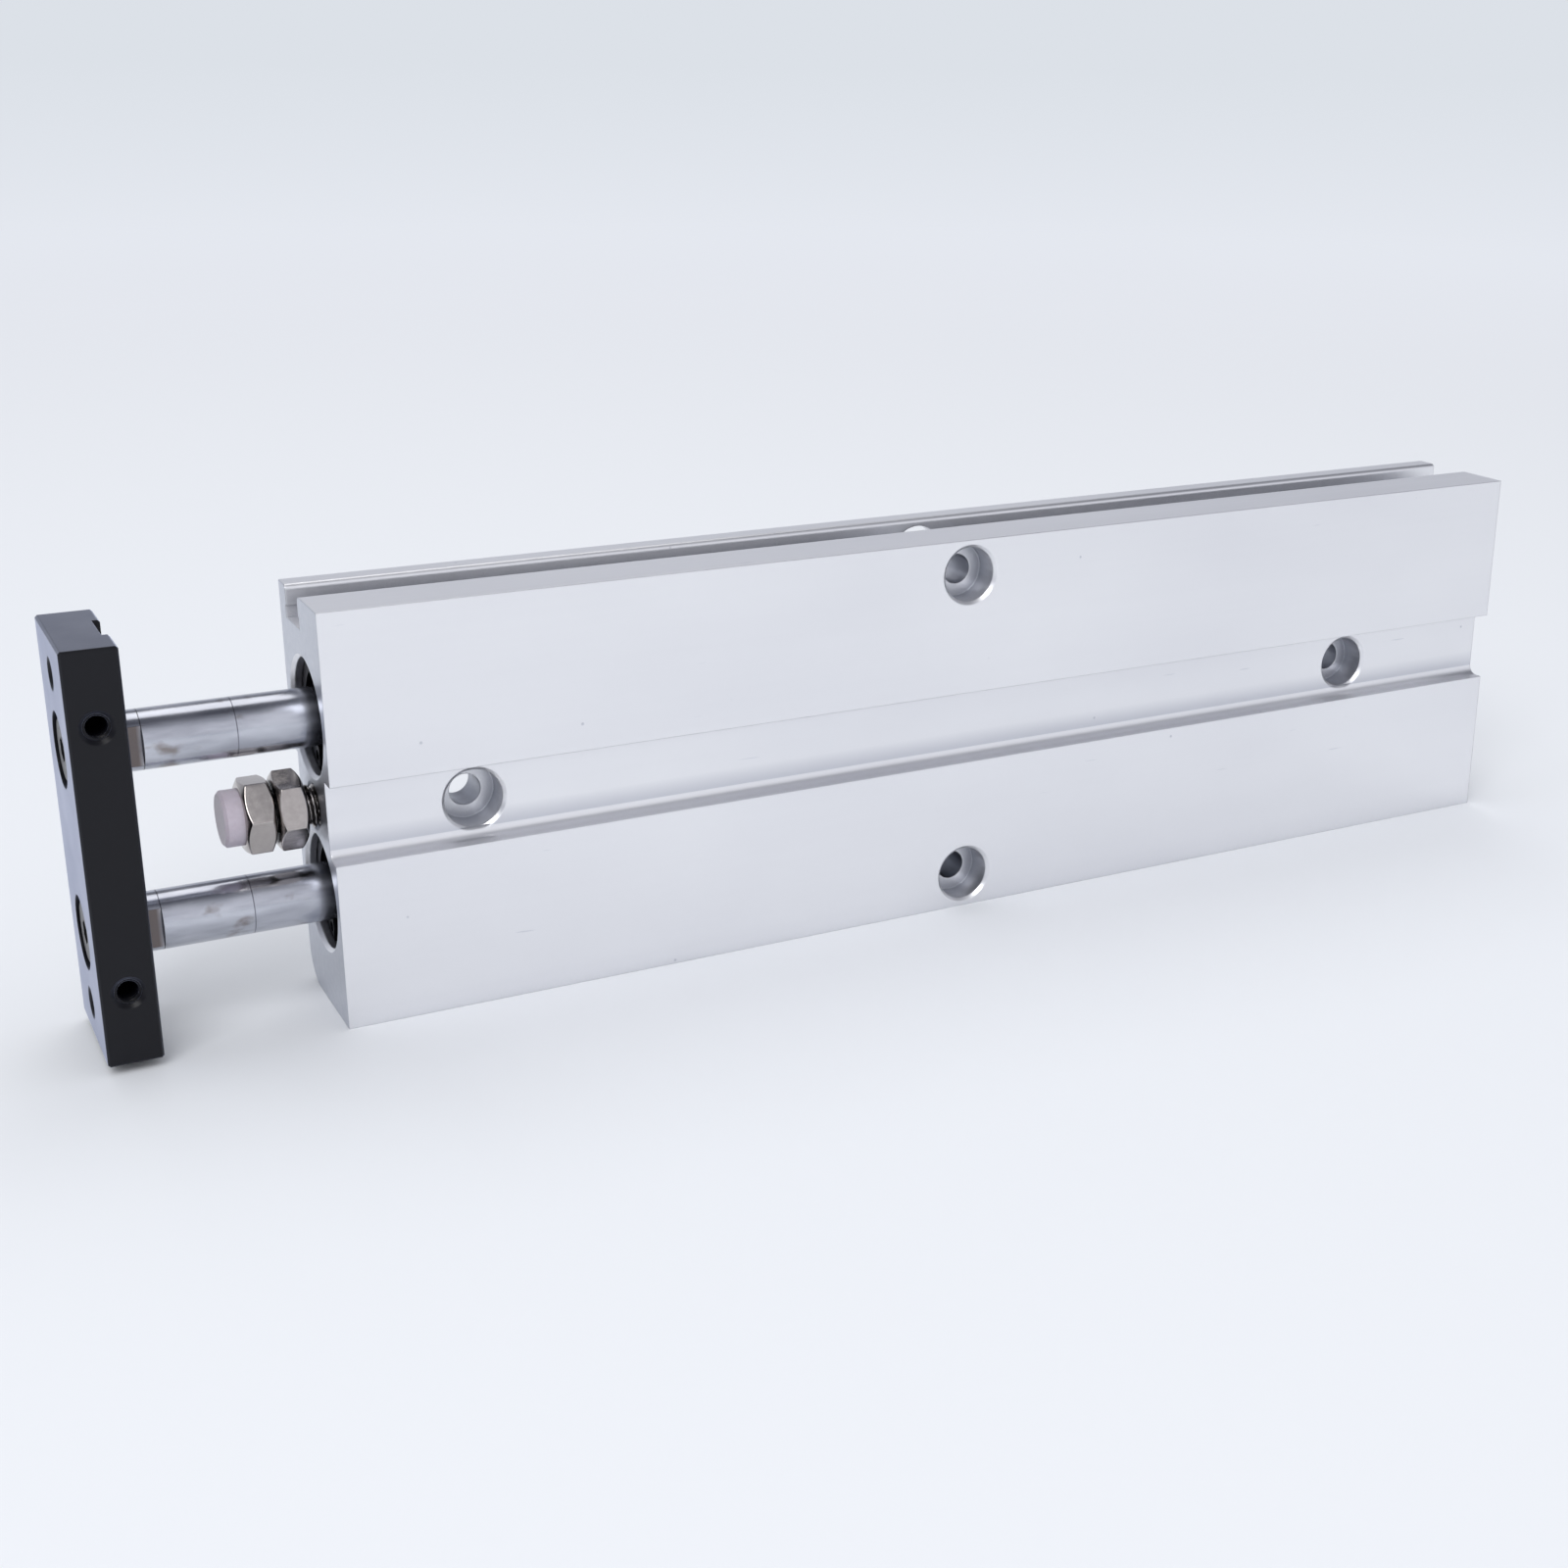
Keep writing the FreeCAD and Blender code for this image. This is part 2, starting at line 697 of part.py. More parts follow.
def build_piston(side, z):
    """Piston in two halves clamped on the spigot with the sensor's magnet between them."""
    radius = BORE - S["wallClearance"]
    slide = S["slideClearance"]
    length = S["pistonFrontLength"]
    spigot = S["spigotDiameter"] / 2 + slide
    seal_floor = S["pistonSealFloor"] / 2
    seal_end = S["pistonSealPlace"] + S["pistonSealWidth"]
    wear_floor = BORE - slide - S["wearRingThickness"] - slide
    wear_end = S["wearRingPlace"] + S["wearRingWidth"]
    turned(f"{side}_piston_front", [
        (0, ROD + slide),
        (0, radius),
        (S["pistonSealPlace"], radius),
        (S["pistonSealPlace"], seal_floor),
        (seal_end, seal_floor),
        (seal_end, radius),
        (S["wearRingPlace"], radius),
        (S["wearRingPlace"], wear_floor),
        (wear_end, wear_floor),
        (wear_end, radius),
        (length, radius),
        (length, spigot),
        (S["rodShoulderDepth"], spigot),
        (S["rodShoulderDepth"], ROD + slide),
    ], PISTON_FACE, z)
    magnet = S["magnetLength"]
    magnet_radius = S["magnetDiameter"] / 2
    ring = [(0, spigot), (0, magnet_radius), (magnet, magnet_radius), (magnet, spigot)]
    turned(f"{side}_piston_magnet", ring, MAGNET_FACE, z)
    flange = S["pistonFlangeLength"]
    rear_length = flange + S["pistonBossLength"]
    recess = S["pistonHeadDiameter"] / 2 + S["wallClearance"]
    recess_floor = rear_length - S["pistonScrewRecess"]
    screw_hole = S["pistonThread"] / 2 + S["wallClearance"]
    boss = S["pistonBossDiameter"] / 2
    turned(f"{side}_piston_rear", [
        (0, screw_hole),
        (0, radius),
        (flange, radius),
        (flange, boss),
        (rear_length, boss),
        (rear_length, recess),
        (recess_floor, recess),
        (recess_floor, screw_hole),
    ], PISTON_REAR_HALF, z)


def build_piston_rings(side, z):
    """The two-way piston seal, hollowed at its rim, and the split wear ring behind it."""
    slide = S["slideClearance"]
    width = S["pistonSealWidth"] - slide * 2
    inner = S["pistonSealFloor"] / 2 + slide
    outer = BORE - slide
    hollow = outer - (outer - inner) / 3
    turned(f"{side}_piston_seal", [
        (0, inner),
        (0, outer),
        (width / 3, outer),
        (width / 2, hollow),
        (width * 2 / 3, outer),
        (width, outer),
        (width, inner),
    ], PISTON_FACE + S["pistonSealPlace"] + slide, z)
    wear_width = S["wearRingWidth"] - slide * 2
    wear_inner = BORE - slide - S["wearRingThickness"]
    band = [(0, wear_inner), (0, outer), (wear_width, outer), (wear_width, wear_inner)]
    place = PISTON_FACE + S["wearRingPlace"] + slide
    turned(f"{side}_piston_wear_ring", band, place, z, angle=S["wearRingAngle"])


def build_cap_screw(label, head_diameter, head_height, thread, reach, key, x, z, toward_rear):
    """A low-headed socket screw: the head is turned with its shank, and the key's hexagon is cut in."""
    sign = 1 if toward_rear else -1
    head = head_diameter / 2
    shank = thread / 2 - S["slideClearance"]
    edge = S["edgeChamfer"]
    under = head_height * sign
    tip = under + reach * sign
    body = turned(label, [
        (0, 0),
        (0, head - edge),
        (edge * sign, head),
        (under, head),
        (under, shank),
        (tip, shank),
        (tip, 0),
    ], x, z)
    socket = new_sketch(body, f"{label}_socket", "YZ_Plane")
    hexagon(socket, key)
    pocket(body, f"{label}_socket_cut", socket, S["keyDepth"], reverse=toward_rear)


def build_screws(side, z):
    plate_web = S["plateThickness"] - S["plateRecessDepth"] - S["rodSeatDepth"]
    seat = PLATE_OUTER + S["plateRecessDepth"] - S["plateHeadHeight"]
    reach = plate_web + S["plateScrewReach"]
    size = (S["plateHeadDiameter"], S["plateHeadHeight"], S["plateThread"], reach, S["plateKey"])
    build_cap_screw(f"{side}_plate_screw", *size, seat, z, True)
    seat = PISTON_REAR - S["pistonScrewRecess"] + S["pistonHeadHeight"]
    reach = S["pistonScrewReach"]
    size = (S["pistonHeadDiameter"], S["pistonHeadHeight"], S["pistonThread"], reach, S["pistonKey"])
    build_cap_screw(f"{side}_piston_screw", *size, seat, z, False)


def build_end_plate():
    """The tie plate: counterbored for the rod screws, tapped for tooling, relieved for a sensor lead."""
    body = new_body("end_plate", x=PLATE_OUTER, z=MIDDLE)
    half_depth = S["plateDepth"] / 2
    half_height = S["plateHeight"] / 2
    thickness = S["plateThickness"]
    face = new_sketch(body, "plate_face", "YZ_Plane")
    polygon(face, [
        (-half_depth, -half_height),
        (half_depth, -half_height),
        (half_depth, half_height),
        (-half_depth, half_height),
    ])
    block = pad(body, "plate_block", face, thickness)
    broken = body.newObject("PartDesign::Chamfer", "plate_edges")
    broken.Base = (block, [f"Edge{number}" for number in range(1, 13)])
    bind(broken, "Size", S["plateChamfer"])
    rod_pitch = S["rodSpacing"] / 2
    screws = new_sketch(body, "rod_screw_centres", "YZ_Plane")
    seats = new_sketch(body, "rod_seats", "YZ_Plane", thickness)
    for z in (-rod_pitch, rod_pitch):
        circle(screws, 0, z, S["plateThread"] / 2)
        circle(seats, 0, z, ROD + S["slideClearance"])
    clear = S["plateThread"] + S["wallClearance"] * 2
    recess = (S["plateRecessDiameter"], S["plateRecessDepth"])
    hole(body, "rod_screw_holes", screws, clear, counterbore=recess, reverse=True)
    pocket(body, "rod_seat_cut", seats, S["rodSeatDepth"])
    tooling = new_sketch(body, "tooling_centres", "YZ_Plane")
    tooling_pitch = S["toolingPitch"] / 2
    for z in (-tooling_pitch, tooling_pitch):
        circle(tooling, 0, z, S["tappedDiameter"] / 2)
    hole(body, "tooling_holes", tooling, S["tappedDiameter"], mouth=S["tappedMouth"], reverse=True)
    side_pitch = S["sideHolePitch"] / 2
    for side, offset in (("front", half_depth), ("back", -half_depth)):
        centres = new_sketch(body, f"{side}_side_centres", "XZ_Plane", offset)
        for z in (-side_pitch, side_pitch):
            circle(centres, thickness / 2, z, S["tappedDiameter"] / 2)
        size = (S["tappedDiameter"], S["sideHoleDepth"])
        name = f"{side}_side_holes"
        hole(body, name, centres, *size, mouth=S["tappedMouth"], reverse=side == "back")
    relief = new_sketch(body, "lead_relief", "YZ_Plane", thickness)
    half_relief = S["leadReliefWidth"] / 2
    foot = half_height - S["leadReliefHeight"]
    polygon(relief, [
        (-half_relief, foot),
        (half_relief, foot),
        (half_relief, half_height + 1),
        (-half_relief, half_height + 1),
    ])
    pocket(body, "lead_relief_cut", relief, S["leadReliefDepth"])


# ---------------------------------------------------------------- adjusting bolt


def bevel_hexagon(body, name, start, end, size):
    """Turns both ends of a hexagonal head or nut down to a cone across its corners."""
    sketch = new_sketch(body, f"{name}_bevels", "XZ_Plane")
    corner = S["hexWidth"] / math.sqrt(3.0)
    flat = S["hexWidth"] / 2 - S["slideClearance"] * 2
    outside = corner + 1
    for face, sign in ((start, 1), (end, -1)):
        inner = face + size * sign
        polygon(sketch, [(face - as_size(sign), flat), (face, flat), (inner, corner), (inner, outside),
                         (face - as_size(sign), outside)])
    cut = body.newObject("PartDesign::Groove", f"{name}_bevel_cut")
    cut.Profile = sketch
    cut.ReferenceAxis = (sketch, ["H_Axis"])
    cut.Angle = 360.0


def build_adjusting_bolt():
    """Hexagon bolt whose inner face stops the end plate, drilled in its head for the bumper's stem."""
    head = S["boltHeadHeight"]
    under = -(S["nutGap"] + S["nutHeight"] + S["slideClearance"])
    body = new_body("adjusting_bolt", x=under - head, z=MIDDLE)
    outline = new_sketch(body, "bolt_head", "YZ_Plane")
    hexagon(outline, S["hexWidth"])
    pad(body, "bolt_head_pad", outline, head)
    bevel_hexagon(body, "bolt_head", ZERO, head, S["headChamfer"])
    shank = new_sketch(body, "bolt_shank", "YZ_Plane")
    circle(shank, 0, 0, S["boltDiameter"] / 2 - S["slideClearance"])
    pad(body, "bolt_shank_pad", shank, head - under + S["boltReach"])
    socket = new_sketch(body, "bumper_socket", "YZ_Plane")
    circle(socket, 0, 0, S["bumperStemDiameter"] / 2 + S["slideClearance"])
    socket_depth = S["bumperStemLength"] + S["endClearance"]
    pocket(body, "bumper_socket_cut", socket, socket_depth, reverse=True)
    disc = S["bumperThickness"]
    rim = S["bumperDiameter"] / 2
    stem = S["bumperStemDiameter"] / 2
    edge = S["bumperChamfer"]
    turned("bolt_bumper", [
        (0, 0),
        (0, rim - edge),
        (edge, rim),
        (disc, rim),
        (disc, stem),
        (disc + S["bumperStemLength"], stem),
        (disc + S["bumperStemLength"], 0),
    ], under - head - disc, MIDDLE)


def build_lock_nut():
    body = new_body("lock_nut", x=-(S["nutGap"] + S["nutHeight"]), z=MIDDLE)
    outline = new_sketch(body, "nut_outline", "YZ_Plane")
    hexagon(outline, S["hexWidth"])
    circle(outline, 0, 0, S["boltDiameter"] / 2)
    pad(body, "nut_pad", outline, S["nutHeight"])
    bevel_hexagon(body, "nut", ZERO, S["nutHeight"], S["nutChamfer"])


def build_all():
    build_extrusion()
    for side, z in AXES.items():
        build_rod_cover(side, z)
        build_rod_guides(side, z)
        build_front_cushion(side, z)
        build_rear_cap(side, z)
        ring_seat = (S["ringGrooveWidth"] - S["ringThickness"]) / 2
        build_retaining_ring(f"{side}_front_retaining_ring", S["ringRecess"] + ring_seat, z)
        build_retaining_ring(f"{side}_rear_retaining_ring", CAP_OUTER + ring_seat, z)
        build_rod(side, z)
        build_piston(side, z)
        build_piston_rings(side, z)
        build_screws(side, z)
    build_end_plate()
    build_adjusting_bolt()
    build_lock_nut()


def write_parts():
    """Checks every feature, then writes one STEP file for each piece."""
    doc.recompute()
    for item in doc.Objects:
        if "Invalid" in item.State or "Error" in item.State:
            raise RuntimeError(f"{item.Name} failed: {item.State}")
    os.makedirs("parts", exist_ok=True)
    pieces = [item for item in doc.Objects if item.TypeId == "PartDesign::Body"]
    for piece in pieces:
        shape = piece.Shape
        if shape.isNull() or not shape.isValid() or len(shape.Solids) != 1:
            raise RuntimeError(f"{piece.Label} is not one valid solid")
        shape.exportStep(os.path.join("parts", f"{piece.Label}.step"))


build_all()
write_parts()
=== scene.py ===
"""Looks of a flat pneumatic cylinder with two rods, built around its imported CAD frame."""
import json
import math

import bmesh
import bpy
import numpy as np
from mathutils import Matrix, Vector


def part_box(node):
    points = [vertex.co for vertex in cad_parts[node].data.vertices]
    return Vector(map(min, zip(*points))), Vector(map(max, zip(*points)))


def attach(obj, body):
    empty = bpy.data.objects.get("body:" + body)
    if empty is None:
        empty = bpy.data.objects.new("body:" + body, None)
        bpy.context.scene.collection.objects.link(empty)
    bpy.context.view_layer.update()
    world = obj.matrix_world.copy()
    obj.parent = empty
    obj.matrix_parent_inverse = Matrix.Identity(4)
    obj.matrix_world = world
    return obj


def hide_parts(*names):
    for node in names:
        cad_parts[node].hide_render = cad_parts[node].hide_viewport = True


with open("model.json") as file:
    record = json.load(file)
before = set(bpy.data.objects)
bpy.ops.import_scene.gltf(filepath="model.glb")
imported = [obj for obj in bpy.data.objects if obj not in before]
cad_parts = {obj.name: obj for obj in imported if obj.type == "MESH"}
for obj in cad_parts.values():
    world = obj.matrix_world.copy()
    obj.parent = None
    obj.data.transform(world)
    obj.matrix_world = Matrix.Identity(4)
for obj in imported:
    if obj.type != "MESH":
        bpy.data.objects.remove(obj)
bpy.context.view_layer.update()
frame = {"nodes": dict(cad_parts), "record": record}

MM = 0.001
BORES = ("lower", "upper")
SHARP_EDGE = math.radians(28)

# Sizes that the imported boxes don't hold, in metres and radians, and the numbers of rows.
HEX_WIDTH = 9.5 * MM
HEX_FACE = HEX_WIDTH * 0.455
HEX_CORNER = 0.25 * MM
HEX_SOFTNESS = 0.16 * MM
HEAD_TURN = math.radians(36)
HEAD_THICKNESS = 4.0 * MM
SOCKET_DEPTH = 2.6 * MM
SOCKET_RADIUS = 2.05 * MM
NUT_TURN = math.radians(19)
NUT_FRONT_GAP = 0.3 * MM
NUT_BACK_GAP = 0.2 * MM
NUT_MOUTH = 3.4 * MM
NUT_BORE = 2.98 * MM
BOLT_CREST = 2.95 * MM
BOLT_PITCH = 1.0 * MM
BOLT_DEPTH = 0.5 * MM
BOLT_POINT = 0.55 * MM
BOLT_ROWS_A_TURN = 14
NECK_LENGTH = 0.1 * MM
NECK_FLARE = 0.2 * MM
THREAD_STOP = 0.05 * MM
TAPPED_PITCH = {1.7: 0.7 * MM, 2.1: 0.8 * MM}  # by the hole's radius in millimetres
TAPPED_DEPTH = 0.45
TAPPED_ROWS_A_TURN = 12
TAPPED_ANGLES = 48
SLEEVE_SINK = 0.02 * MM
TOOLING_MOUTH = 0.7 * MM
TOOLING_END = 0.2 * MM

# Places where a finish or a painted shade changes, as Object coordinates in metres. The painted shade at the
# channel's foot fades between two heights.
CHANNEL_FACES = (-7.2 * MM, 7.2 * MM)
CHANNEL_FOOT_SHADE = (24.0 * MM, 27.5 * MM)
SEAL_MARK = -9.7 * MM
FLATS_FACE = -3.0 * MM
FLATS_MIDDLE = -23.3 * MM
FLATS_REACH = 1.3 * MM
FLATS_END = -21.35 * MM


# ---------------------------------------------------------------- surfaces

def closed_grid(name, points, rows_closed=False):
    """Joins a grid of points (rows, angles, 3) into a skin. Each row closes on itself round the angles, and
    the last row joins the first one where rows_closed is set. Equal points are merged, which closes the
    poles, and the faces are then turned outwards."""
    rows, angles = points.shape[:2]
    index = np.arange(rows * angles).reshape(rows, angles)
    nearer = index if rows_closed else index[:-1]
    further = np.roll(index, -1, axis=0)[: len(nearer)]
    quads = np.stack([nearer, np.roll(nearer, -1, axis=1), np.roll(further, -1, axis=1), further], axis=-1)
    mesh = bpy.data.meshes.new(name)
    mesh.from_pydata(points.reshape(-1, 3).tolist(), [], quads.reshape(-1, 4).tolist())
    work = bmesh.new()
    work.from_mesh(mesh)
    bmesh.ops.remove_doubles(work, verts=work.verts, dist=1e-7)
    bmesh.ops.dissolve_degenerate(work, edges=work.edges, dist=1e-8)
    bmesh.ops.recalc_face_normals(work, faces=work.faces)
    work.to_mesh(mesh)
    work.free()
    mesh.shade_smooth()
    mesh.set_sharp_from_angle(angle=SHARP_EDGE)
    piece = bpy.data.objects.new(name, mesh)
    bpy.context.scene.collection.objects.link(piece)
    return piece


def round_axis(centre, axis, along, radius, angle):
    """Points at the distance along on an axis through centre, and radius away from it, turned by angle."""
    axis = Vector(axis).normalized()
    first = axis.orthogonal().normalized()
    second = axis.cross(first)
    along, radius, angle = (part[..., None] for part in np.broadcast_arrays(along, radius, angle))
    outward = np.array(first) * np.cos(angle) + np.array(second) * np.sin(angle)
    return np.array(centre) + np.array(axis) * along + outward * radius


def thread_wave(along, angle, pitch):
    """Height of a screw thread, from 0 at its root to 1 at its crest: a triangle wave of the distance
    along the axis less the share of a turn, cut off flat at both ends."""
    turn = (along / pitch - angle / (2 * math.pi)) % 1.0
    return np.clip(1.6 * (1 - np.abs(2 * turn - 1)) - 0.3, 0.0, 1.0)


# ---------------------------------------------------------------- pieces

def rays(angle):
    """Unit vectors at the given angles: their cosine and sine."""
    return np.stack([np.cos(angle), np.sin(angle)], axis=-1)


def hexagon_outline(width, turn, corner=HEX_CORNER, across=14, round_steps=5):
    """The outline of a hexagon as (y, z) points and their distance from its axis. Each corner is an arc of
    the radius corner, each side has across steps, and turn lifts the side that faces -Y."""
    reach = (width / 2 - corner) / math.cos(math.pi / 6)
    tips = turn + (np.arange(6) + 0.5) * math.pi / 3
    sweep = np.linspace(-math.pi / 6, math.pi / 6, round_steps)
    arcs = reach * rays(tips)[:, None] + corner * rays(tips[:, None] + sweep)
    starts, ends = arcs[:, -1:], np.roll(arcs, -1, axis=0)[:, :1]
    sides = starts + (ends - starts) * np.arange(1, across)[:, None] / across
    outline = np.concatenate([arcs, sides], axis=1).reshape(-1, 2)
    return outline * (-1, 1), np.hypot(outline[:, 0], outline[:, 1])


def eased(before, corner, after, width, steps=5):
    """Rows that replace a corner by a small parabola: it starts and ends width from the corner, or half way
    along a shorter side."""
    ends = []
    for way in (before - corner, after - corner):
        length = np.maximum(np.linalg.norm(way, axis=-1), 1e-9)
        ends.append(corner + way * np.minimum(width / length, 0.5)[:, None])
    start, end = ends
    share = np.linspace(0, 1, steps)[:, None, None]
    return start * (1 - share) ** 2 + corner * 2 * share * (1 - share) + end * share ** 2


def hexagon_rows(start, end, reach, face, slope=math.radians(30)):
    """Rows (along, share of the outline) of a nut's skin between the face circles at both ends. A cone of
    the given slope starts at each face circle, so the distance from a face to the sides is (reach - face)
    times the slope's tangent: the curved upper edge of each side. Each face starts at 0.8 of its circle."""
    depth = (reach - face) * math.tan(slope)
    profile = [(start, face * 0.8), (start, face), (start + depth, reach),
               (end - depth, reach), (end, face), (end, face * 0.8)]
    corners = [np.stack(np.broadcast_arrays(along, radius, reach)[:2], axis=-1) for along, radius in profile]
    rows = [corners[0][None]]
    for before, corner, after in zip(corners, corners[1:], corners[2:]):
        rows.append(eased(before, corner, after, HEX_SOFTNESS))
    rows.append(corners[-1][None])
    return np.concatenate(rows)


def ring_rows(count, pairs):
    """Rows of plain circles from (along, radius) pairs."""
    return np.array([np.broadcast_to(pair, (count, 2)) for pair in pairs])


def on_outline(rows, outline, reach, y, z):
    """Turns rows of (along, radius) into points: each lies on the ray through its outline point."""
    unit = outline / reach[:, None]
    across = rows[..., 1:] * unit
    return np.concatenate([rows[..., :1], across + (y, z)], axis=-1)


def thread_rows(start, end, crest, depth, pitch, angle):
    """Rows of a screw thread between two places along X; it runs out to its crest over the last turn."""
    along = np.linspace(start, end, int((end - start) / pitch * BOLT_ROWS_A_TURN) + 1)[:, None]
    left = np.clip((end - along) / pitch, 0, 1) * np.clip((along - start) / pitch * 2, 0, 1)
    radius = crest - depth * left * (1 - thread_wave(along, -angle[None], pitch))
    return np.stack([np.broadcast_to(along, radius.shape), radius], -1)


def build_adjusting_bolt():
    """Hexagon bolt: its socket for the bumper, its head and its thread down to the tip, as one skin."""
    low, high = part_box("adjusting_bolt")
    centre_y, centre_z = (low[1] + high[1]) / 2, (low[2] + high[2]) / 2
    head_end = low[0] + HEAD_THICKNESS
    floor = low[0] + SOCKET_DEPTH
    neck = head_end + NECK_LENGTH
    point = high[0] - BOLT_POINT
    outline, reach = hexagon_outline(HEX_WIDTH, HEAD_TURN)
    angle = np.arctan2(outline[:, 1], -outline[:, 0])
    count = len(reach)
    rows = np.concatenate([
        ring_rows(count, [(floor, 0), (floor, SOCKET_RADIUS), (low[0], SOCKET_RADIUS)]),
        hexagon_rows(low[0], head_end, reach, HEX_FACE),
        ring_rows(count, [(head_end, BOLT_CREST + NECK_FLARE), (neck, BOLT_CREST)]),
        thread_rows(neck, point - THREAD_STOP, BOLT_CREST, BOLT_DEPTH, BOLT_PITCH, angle),
        ring_rows(count, [(point, BOLT_CREST), (high[0], BOLT_CREST - BOLT_POINT), (high[0], 0)]),
    ])
    piece = closed_grid("adjusting_bolt_threaded", on_outline(rows, outline, reach, centre_y, centre_z))
    piece.data.materials.append(NICKEL)
    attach(piece, "adjusting_screw")
    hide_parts("adjusting_bolt")


def build_lock_nut():
    """Hexagon nut with both faces bevelled and a countersunk hole. It is a little thinner than its box, so
    that the gaps at both faces can be seen."""
    low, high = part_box("lock_nut")
    near, far = low[0] + NUT_FRONT_GAP, high[0] - NUT_BACK_GAP
    centre_y, centre_z = (low[1] + high[1]) / 2, (low[2] + high[2]) / 2
    outline, reach = hexagon_outline(HEX_WIDTH, NUT_TURN)
    sink = NUT_MOUTH - NUT_BORE
    rows = np.concatenate([
        hexagon_rows(near, far, reach, HEX_FACE),
        ring_rows(len(reach), [(far, NUT_MOUTH), (far - sink, NUT_BORE),
                               (near + sink, NUT_BORE), (near, NUT_MOUTH)]),
    ])
    skin = on_outline(rows, outline, reach, centre_y, centre_z)
    piece = closed_grid("lock_nut_bevelled", skin, rows_closed=True)
    piece.data.materials.append(NICKEL)
    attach(piece, "adjusting_screw")
    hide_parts("lock_nut")


def add_hole_thread(name, mouth, axis, length, radius, body, finish):
    """A thin threaded sleeve in a tapped hole: the radius less TAPPED_DEPTH of the pitch at each crest. Its
    back is a plain cylinder, sunk by SLEEVE_SINK into the hole's wall."""
    pitch = TAPPED_PITCH[round(radius / MM, 1)]
    angle = np.linspace(0, 2 * math.pi, TAPPED_ANGLES, endpoint=False)[None]
    along = np.linspace(0, length, int(length / pitch * TAPPED_ROWS_A_TURN) + 1)[:, None]
    inner = radius - TAPPED_DEPTH * pitch * thread_wave(along, angle, pitch)
    wall = radius + SLEEVE_SINK
    skin = np.concatenate([round_axis(mouth, axis, along[:1], wall, angle),
                           round_axis(mouth, axis, along, inner, angle),
                           round_axis(mouth, axis, along[-1:], wall, angle)])
    piece = closed_grid(name, skin, rows_closed=True)
    piece.data.materials.append(finish)
    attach(piece, body)


def build_hole_threads():
    """Threads in the tapped holes of the end plate and in the two ports, at the record's mounts."""
    low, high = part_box("end_plate")
    for mount in frame["record"]["mounts"]:
        centre, axis, sizes = Vector(mount["pos_m"]), Vector(mount["axis"]), mount["dims"]
        name = mount["name"]
        if mount["kind"] == "threaded_hole":
            length, radius = sizes["length_mm"] * MM, sizes["r_mm"] * MM
            on_plate = name.startswith("plate")
            body, finish = ("rod_assembly", PLATE_METAL) if on_plate else ("barrel", BODY_METAL)
            add_hole_thread(f"{name}_thread", centre + axis * length / 2, -axis, length, radius, body, finish)
        elif name == "plate_tooling_holes":
            for level, sign in zip(BORES, (-1, 1)):
                up = centre.z + sign * sizes["spacing_y_mm"] * MM / 2
                mouth = Vector((low[0] + TOOLING_MOUTH, centre.y, up))
                length = high[0] - low[0] - TOOLING_MOUTH - TOOLING_END
                radius = sizes["hole_r_mm"] * MM
                add_hole_thread(f"plate_{level}_tooling_thread", mouth, -axis, length, radius,
                                "rod_assembly", PLATE_METAL)


# ---------------------------------------------------------------- materials

MIX_SHARE, MIX_UNDER, MIX_OVER, MIX_RESULT = 0, 6, 7, 2
DEEP_SHARE, OPEN_SHARE = 0.14, 0.58


def linear(colour):
    """An sRGB hex colour as linear light, with full alpha."""
    shares = [int(colour[i:i + 2], 16) / 255 for i in (1, 3, 5)]
    return [s / 12.92 if s <= 0.04045 else ((s + 0.055) / 1.055) ** 2.4 for s in shares] + [1.0]


def add(tree, kind, *inputs, sockets=None, output=0, **settings):
    """Adds a node of a kind with its settings. The inputs fill its first sockets in their order, and
    sockets names others: each one gets a plain value or the output that feeds it. Returns the node's
    chosen output, or the node itself where output is None."""
    made = tree.nodes.new("ShaderNode" + kind)
    for name, value in settings.items():
        setattr(made, name, value)
    for socket, source in (dict(enumerate(inputs)) | (sockets or {})).items():
        if isinstance(source, bpy.types.NodeSocket):
            tree.links.new(source, made.inputs[socket])
        else:
            made.inputs[socket].default_value = source
    return made if output is None else made.outputs[output]


def finish_of(name, **values):
    """A new material with one Principled shader. Returns the material, its tree and the shader."""
    made = bpy.data.materials.new(name)
    made.use_nodes = True
    shader = made.node_tree.nodes["Principled BSDF"]
    for socket, value in values.items():
        shader.inputs[socket.replace("_", " ")].default_value = value
    return made, made.node_tree, shader


def pattern(tree, kind, size, offset=(0, 0, 0), **sockets):
    """A texture on Object coordinates, whose cells have the given size in millimetres along each axis. It is
    shifted by offset, in cells."""
    steps = [1 / (length * MM) for length in size]
    place = add(tree, "Mapping", sockets={"Vector": add(tree, "TexCoord", output="Object"),
                                          "Scale": steps, "Location": offset})
    return add(tree, kind, sockets={"Vector": place, "Scale": 1.0, **sockets})


def painted(tree, base, colour, source, low=0.0, high=1.0, start=0.0, end=1.0):
    """Lays a colour over the base colour. Its share goes from start, where source is low, to end, where
    source is high, and holds there outside."""
    share = add(tree, "MapRange", source, low, high, start, end)
    under = linear(base) if isinstance(base, str) else base
    return add(tree, "Mix", sockets={MIX_SHARE: share, MIX_UNDER: under, MIX_OVER: linear(colour)},
               output=MIX_RESULT, data_type="RGBA")


def near_plane(tree, axis, place, reach=0.01 * MM):
    """1 within reach of a plane across an axis of Object coordinates, and 0 beyond twice that."""
    along = add(tree, "SeparateXYZ", add(tree, "TexCoord", output="Object"), output=axis)
    distance = add(tree, "Math", add(tree, "Math", along, place, operation="SUBTRACT"), operation="ABSOLUTE")
    return add(tree, "MapRange", distance, reach, reach * 2, 1.0, 0.0)


